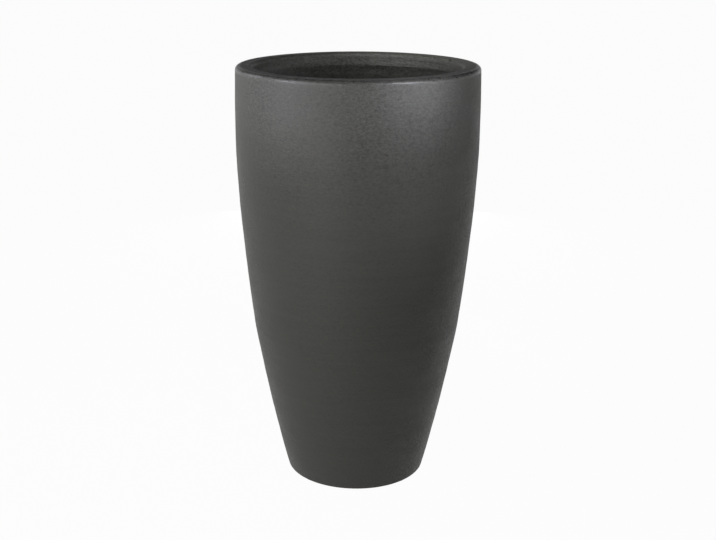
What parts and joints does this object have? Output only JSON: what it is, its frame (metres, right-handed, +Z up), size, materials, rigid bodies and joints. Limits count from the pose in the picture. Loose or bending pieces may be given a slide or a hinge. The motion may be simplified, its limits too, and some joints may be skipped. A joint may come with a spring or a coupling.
{
  "type": "planter",
  "caption": "Tall round tapering ceramic floor planter with a thick, flat, round-edged rim, an open planting hollow, a lift-out rubber drain plug and rubber pads under its foot ring.",
  "frame": {"origin": "centre of the footprint, on the surface that the pads stand on", "axes": "+Z up along the axis of the pot; the pot is round, so +X and +Y differ only in that the pads lie on the diagonals between them"},
  "size_m": [0.457, 0.457, 0.803],
  "materials": {
    "fired_clay": "matt charcoal, fine sandy grain with a soft sheen",
    "plug_rubber": "matt",
    "pad_rubber": "matt"
  },
  "bodies": {
    "planter": {"planter_shell": "fired_clay", "foot_pad_1": "pad_rubber", "foot_pad_2": "pad_rubber", "foot_pad_3": "pad_rubber", "foot_pad_4": "pad_rubber"},
    "plug": {"drain_plug": "plug_rubber"}
  },
  "joints": [
    {"name": "plug_lift", "type": "slide", "parent": "planter", "child": "plug", "axis": [0, 0, 1], "range_m": [0, 0.85]}
  ]
}
